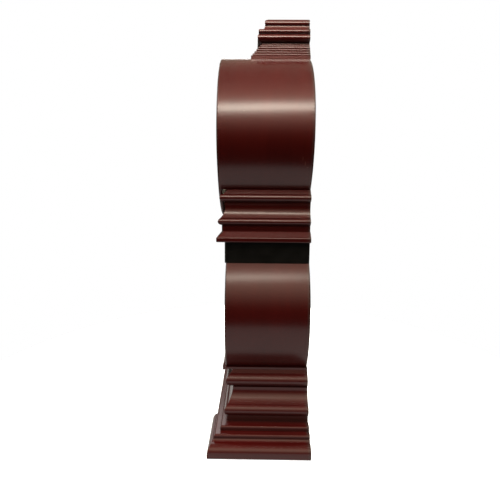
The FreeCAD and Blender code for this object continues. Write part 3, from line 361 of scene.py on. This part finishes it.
MARKS = (
    ((81.7, -15.0, 312.9), (3.0, 2.6, 0.5), 0.0, "dark"),
    ((80.6, -16.5, 318.5), (2.0, 1.2, 0.4), 0.0, "pale"),
    ((78.3, 39.5, 327.8), (0.9, 0.8, 0.8), 0.0, "dark"),
    ((78.6, 38.2, 276.6), (3.0, 0.45, 2.6), 0.0, "pale"),
    ((77.0, 40.6, 272.4), (3.0, 0.45, 3.0), 0.0, "pale"),
    ((75.6, 43.0, 268.9), (3.0, 1.4, 0.45), 0.0, "pale"),
)
m_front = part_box("dial_plate")[0][1]
FRONT_U, FRONT_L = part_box("upper_front_board")[0][1] / MM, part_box("lower_front_board")[0][1] / MM
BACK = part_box("upper_back_board")[1][1] / MM
mah_up = lacquer("mahogany_band", (9, 60, 9), MARKS, ((1, BACK, 4.0, 1.0), (1, FRONT_U, 2.2, 0.95)))
mah_lo = lacquer("mahogany_band_low", (9, 60, 9), (), ((1, BACK, 4.0, 1.0), (1, FRONT_L, 2.2, 0.95)))
mah_moulding = lacquer("mahogany_moulding", (7, 7, 34), (), ((1, BACK, 4.0, 1.0),))
mah_panel = lacquer("mahogany_panel", (70, 14, 9))


black = ebony("ebonised")
UP_C = (0.0, 302.0)
LOW_C = (0.0, 120.8)
brass_up = metal("brass_dial", (0.66, 0.43, 0.15), (0.80, 0.56, 0.23), 0.20, centre=UP_C)
ring_brass = metal("brass_ring", (0.70, 0.50, 0.22), (0.84, 0.64, 0.34), 0.42, (0.40, 0.27, 0.11), 0.3, centre=UP_C)
brass_low = metal("brass_window", (0.66, 0.43, 0.15), (0.80, 0.56, 0.23), 0.20, centre=LOW_C)
brass = metal("brass", (0.62, 0.40, 0.14), (0.78, 0.54, 0.22), 0.22)
steel = metal("steel", (0.45, 0.45, 0.46), (0.60, 0.60, 0.61), 0.30, (0.22, 0.20, 0.18), 0.25)
by_slot = {
    "mahogany": mah_moulding, "ebonised": black, "brass": brass, "steel": steel, "screw_brass": brass,
    "screw_steel": steel, "plated_steel": metal("plated_steel", (0.55, 0.55, 0.56), (0.68, 0.68, 0.68), 0.24, (0.3, 0.3, 0.3), 0.2),
    "magnet": metal("magnet", (0.35, 0.35, 0.37), (0.5, 0.5, 0.52), 0.34, (0.16, 0.15, 0.15), 0.3),
    "glass": glass("glass"), "felt": felt("felt"),
    "birch_ply": ply("birch_ply"),
    "retainer": plastic("retainer", (0.02, 0.02, 0.02), (0.04, 0.04, 0.04), 0.5),
    "hand_black": ink("hand_black"),
    "dial_enamel": enamel("dial_enamel"),
    "movement_plastic": plastic("movement_plastic", (0.008, 0.008, 0.008), (0.016, 0.016, 0.017), 0.5, 1400.0, 0.35),
    "wheel_plastic": plastic("wheel_plastic", (0.60, 0.60, 0.57), (0.70, 0.70, 0.67), 0.38, 700.0, 0.08),
    "battery_sleeve": sleeve("battery_sleeve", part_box("battery")),
    "board_green": circuit("board_green"),
    "coil_wire": wound("coil_wire"),
}
special = {
    "upper_band": mah_up, "upper_front_board": mah_up, "upper_back_board": mah_up,
    "lower_side_left": mah_lo, "lower_side_right": mah_lo, "lower_front_board": mah_lo, "lower_back_board": mah_lo,
    "service_door": mah_panel,
    "dial_bezel": brass_up, "chapter_ring": ring_brass,
    "window_bezel": brass_low, "pendulum_bob": brass_low,
}
for n, o in NODES.items():
    mat = special.get(n) or by_slot[o.data.materials[0].name.split(".")[0]]
    o.data.materials[0] = mat

# ------------------------------------------------------------------ dial printing
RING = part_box("chapter_ring")
RING_Y = RING[0][1]
CX, CZ = (RING[0][0] + RING[1][0]) / 2, (RING[0][2] + RING[1][2]) / 2
INK_T = 0.00012


def prism(bm, pts, y_back, y_front):
    """A flat plate from a 2-D outline (x, z), given clockwise or not."""
    a = [bm.verts.new((x, y_front, z)) for x, z in pts]
    b = [bm.verts.new((x, y_back, z)) for x, z in pts]
    bm.faces.new(a)
    bm.faces.new(b[::-1])
    for i in range(len(pts)):
        j = (i + 1) % len(pts)
        bm.faces.new((a[j], a[i], b[i], b[j]))


def stroke(p, r, w0, w1):
    """Corners of a straight stroke from p to r, w0 and w1 wide, cut level at its ends."""
    return [(p[0] - w0 / 2, p[1]), (p[0] + w0 / 2, p[1]), (r[0] + w1 / 2, r[1]), (r[0] - w1 / 2, r[1])]


def letter(ch, x, h):
    """Outlines of one Roman figure standing at x, with its advance, in mm."""
    out, top, bot, s = [], h / 2, -h / 2, 0.45
    if ch == "I":
        w = 2.1
        c = x + w / 2
        out.append([(c - 0.72, bot), (c + 0.72, bot), (c + 0.72, top), (c - 0.72, top)])
        out.append([(c - 1.05, bot), (c + 1.05, bot), (c + 0.76, bot + s), (c - 0.76, bot + s)])
        out.append([(c - 0.76, top - s), (c + 0.76, top - s), (c + 1.05, top), (c - 1.05, top)])
    elif ch == "V":
        w = 5.0
        l, r, c = x + 1.0, x + w - 0.9, x + w / 2
        out.append(stroke((l, top), (c - 0.1, bot), 1.75, 1.2))
        out.append(stroke((r, top), (c + 0.15, bot), 0.65, 0.65))
        out.append([(l - 1.05, top - s * 0.8), (l + 1.05, top - s * 0.8), (l + 1.05, top), (l - 1.05, top)])
        out.append([(r - 0.75, top - s * 0.8), (r + 0.75, top - s * 0.8), (r + 0.75, top), (r - 0.75, top)])
    else:
        w = 5.2
        l, r = x + 1.0, x + w - 1.0
        out.append(stroke((l, top), (r, bot), 1.75, 1.75))
        out.append(stroke((r, top), (l, bot), 0.65, 0.65))
        for px, pz, hw in ((l, top - s * 0.8, 1.05), (r, top - s * 0.8, 0.75), (l, bot, 0.75), (r, bot, 1.05)):
            out.append([(px - hw, pz), (px + hw, pz), (px + hw, pz + s * 0.8), (px - hw, pz + s * 0.8)])
    return out, w


def finish_piece(name, bm, mat, body):
    bmesh.ops.recalc_face_normals(bm, faces=bm.faces)
    me = bpy.data.meshes.new(name)
    bm.to_mesh(me)
    bm.free()
    o = bpy.data.objects.new(name, me)
    scene.collection.objects.link(o)
    me.materials.append(mat)
    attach(o, body)
    return o


numbers = ["XII", "I", "II", "III", "IIII", "V", "VI", "VII", "VIII", "IX", "X", "XI"]
bm = bmesh.new()
layer = 0
for hour, text in enumerate(numbers):
    th = math.radians(30.0 * hour)
    shapes, x = [], 0.0
    for ch in text:
        got, w = letter(ch, x, 8.8)
        shapes += got
        x += w + 0.25
    x -= 0.25
    squeeze = min(1.0, 13.5 / x)
    for k, pts in enumerate(shapes):
        ring = []
        for u, v in pts:
            u = (u - x / 2) * squeeze
            rr = (47.7 + v) * MM
            # spread with the radius, so that the strokes stay radial
            a = th + u / 47.7
            ring.append((CX + rr * math.sin(a), CZ + rr * math.cos(a)))
        prism(bm, ring, RING_Y + 0.00003, RING_Y - INK_T - 0.000004 * (k % 4))
finish_piece("hour_figures", bm, by_slot["hand_black"], "case")

bm = bmesh.new()


def hoop(bm, r0, r1, y0, y1, steps=180):
    loops = []
    for r, y in ((r0, y0), (r0, y1), (r1, y1), (r1, y0)):
        loops.append([bm.verts.new((CX + r * MM * math.sin(2 * math.pi * i / steps), y, CZ + r * MM * math.cos(2 * math.pi * i / steps))) for i in range(steps)])
    for k in range(4):
        a, b = loops[k], loops[(k + 1) % 4]
        for i in range(steps):
            j = (i + 1) % steps
            bm.faces.new((a[i], a[j], b[j], b[i]))


hoop(bm, 53.30, 53.55, RING_Y + 0.00003, RING_Y - INK_T)
hoop(bm, 56.05, 56.30, RING_Y + 0.00003, RING_Y - INK_T)
for i in range(60):
    th = math.radians(6.0 * i)
    hw = (0.55 if i % 5 == 0 else 0.17)
    pts = []
    for r, s in ((53.4, -1), (56.2, -1), (56.2, 1), (53.4, 1)):
        a = th + s * hw / r
        pts.append((CX + r * MM * math.sin(a), CZ + r * MM * math.cos(a)))
    prism(bm, pts, RING_Y + 0.00003, RING_Y - INK_T - 0.00001)
finish_piece("minute_track", bm, by_slot["hand_black"], "case")

# fine engine-turned circles in the middle of the dial plate
bm = bmesh.new()
PLATE_Y = m_front
for r in (12.0, 12.9, 24.0, 24.5, 38.4, 39.3):
    hoop(bm, r, r + (0.42 if r in (12.9, 39.3) else 0.2), PLATE_Y + 0.00003, PLATE_Y - INK_T, 140)
for i in range(24):
    th = math.radians(15.0 * i)
    pts = []
    for r, s in ((13.5, 0.0), (18.0, 0.9), (23.6, 0.0), (18.0, -0.9)):
        a = th + s / r
        pts.append((CX + r * MM * math.sin(a), CZ + r * MM * math.cos(a)))
    prism(bm, pts, PLATE_Y + 0.00003, PLATE_Y - INK_T)
finish_piece("dial_rings", bm, brass_up, "case")

# ------------------------------------------------------------------ stage
def stage_disc(name, radii, steps=96):
    bm = bmesh.new()
    rings = []
    for r in radii:
        rings.append([bm.verts.new((r * math.cos(2 * math.pi * i / steps), r * math.sin(2 * math.pi * i / steps), 0)) for i in range(steps)])
    for a, b in zip(rings, rings[1:]):
        for i in range(steps):
            j = (i + 1) % steps
            bm.faces.new((a[i], a[j], b[j], b[i]))
    bm.faces.new(rings[0])
    me = bpy.data.meshes.new(name)
    bm.to_mesh(me)
    bm.free()
    o = bpy.data.objects.new(name, me)
    scene.collection.objects.link(o)
    return o


floor = stage_disc("floor", (0.05, 0.2, 0.38))
fm = Mat("floor_white")
fm.bsdf.inputs["Base Color"].default_value = (0.55, 0.55, 0.55, 1)
fm.bsdf.inputs["Roughness"].default_value = 0.9
fm.bsdf.inputs["Specular IOR Level"].default_value = 0.0
fm.bsdf.inputs["Emission Color"].default_value = (1, 1, 1, 1)
fm.bsdf.inputs["Emission Strength"].default_value = 0.84
glow = fm.t.nodes.new("ShaderNodeEmission")
glow.inputs[0].default_value = (1.0, 0.96, 0.90, 1)
glow.inputs[1].default_value = 0.70
path = fm.t.nodes.new("ShaderNodeLightPath")
mixer = fm.t.nodes.new("ShaderNodeMixShader")
fm.link(path.outputs["Is Camera Ray"], mixer.inputs[0])
fm.link(glow.outputs[0], mixer.inputs[1])
fm.link(fm.bsdf.outputs[0], mixer.inputs[2])
fm.link(mixer.outputs[0], fm.out.inputs["Surface"])
floor.data.materials.append(fm.m)

world = bpy.data.worlds.new("studio")
scene.world = world
world.use_nodes = True
wt = world.node_tree
wt.nodes.clear()
wout = wt.nodes.new("ShaderNodeOutputWorld")
mixs = wt.nodes.new("ShaderNodeMixShader")
lp = wt.nodes.new("ShaderNodeLightPath")
bg_cam = wt.nodes.new("ShaderNodeBackground")
bg_cam.inputs[0].default_value = (1, 1, 1, 1)
bg_amb = wt.nodes.new("ShaderNodeBackground")
bg_amb.inputs[0].default_value = (1.0, 0.92, 0.70, 1)
tc = wt.nodes.new("ShaderNodeTexCoord")
sep = wt.nodes.new("ShaderNodeSeparateXYZ")
wt.links.new(tc.outputs["Generated"], sep.inputs[0])


def world_span(src, a, b, c, d):
    n = wt.nodes.new("ShaderNodeMapRange")
    for key, val in (("From Min", a), ("From Max", b), ("To Min", c), ("To Max", d)):
        n.inputs[key].default_value = val
    wt.links.new(src, n.inputs["Value"])
    return n.outputs[0]


def world_math(op, a, b):
    n = wt.nodes.new("ShaderNodeMath")
    n.operation = op
    wt.links.new(a, n.inputs[0])
    wt.links.new(b, n.inputs[1])
    return n.outputs[0]


ramp = wt.nodes.new("ShaderNodeValToRGB")
stops = [(0.04, 0.0), (0.12, 0.05), (0.22, 0.20), (0.36, 0.46), (0.50, 0.80), (0.70, 1.0), (0.85, 0.70), (0.95, 0.22), (1.0, 0.10)]
e = ramp.color_ramp.elements
while len(e) < len(stops):
    e.new(0.5)
for i, (pos, val) in enumerate(stops):
    e[i].position = pos
    e[i].color = (val, val, val, 1)
wt.links.new(sep.outputs["Z"], ramp.inputs[0])
towards = world_math("MULTIPLY", world_span(sep.outputs["X"], -0.1, 0.25, 0.0, 1.5), world_span(sep.outputs["Y"], -0.75, -0.15, 0.1, 1.0))
glow_band = world_math("MULTIPLY", ramp.outputs[0], towards)
level = world_math("ADD", world_span(sep.outputs["Z"], 0.30, 0.95, 0.01, 0.26), glow_band)
rear = world_math("MULTIPLY", world_span(sep.outputs["X"], 0.1, -0.8, 0.0, 0.20), world_span(sep.outputs["Z"], 0.0, 0.5, 0.15, 1.0))
wt.links.new(world_math("ADD", level, rear), bg_amb.inputs[1])
wt.links.new(lp.outputs["Is Camera Ray"], mixs.inputs[0])
wt.links.new(bg_amb.outputs[0], mixs.inputs[1])
wt.links.new(bg_cam.outputs[0], mixs.inputs[2])
wt.links.new(mixs.outputs[0], wout.inputs[0])


def area(name, loc, target, sx, sy, power, color=(1, 1, 1), roll=0.0):
    d = bpy.data.lights.new(name, "AREA")
    d.shape = "RECTANGLE"
    d.size, d.size_y = sx, sy
    d.energy = power
    d.color = color
    o = bpy.data.objects.new(name, d)
    scene.collection.objects.link(o)
    o.location = loc
    turn = (Vector(target) - Vector(loc)).to_track_quat("-Z", "Y") @ Quaternion((0, 0, 1), math.radians(roll))
    o.rotation_euler = turn.to_euler()
    o.visible_camera = False
    return o


key = area("key", (0.69, 0.33, 0.915), (0, 0.30, 0.62), 1.10, 0.16, 2.15, (1.0, 0.93, 0.79), 8.0)
key.data.spread = math.radians(58)
overhead = area("overhead", (0.10, 0.0, 1.25), (0, 0, 0), 0.8, 0.8, 58.0, (1.0, 0.95, 0.88))
overhead.visible_glossy = False
area("front", (0.45, -0.95, 1.15), (0, 0, 0.25), 0.9, 0.5, 5.0)
area("left", (-1.0, -0.25, 0.85), (0, 0, 0.25), 0.9, 0.25, 2.6)
area("rear", (-0.3, 1.3, 0.7), (0, 0, 0.25), 0.9, 0.5, 4.0)
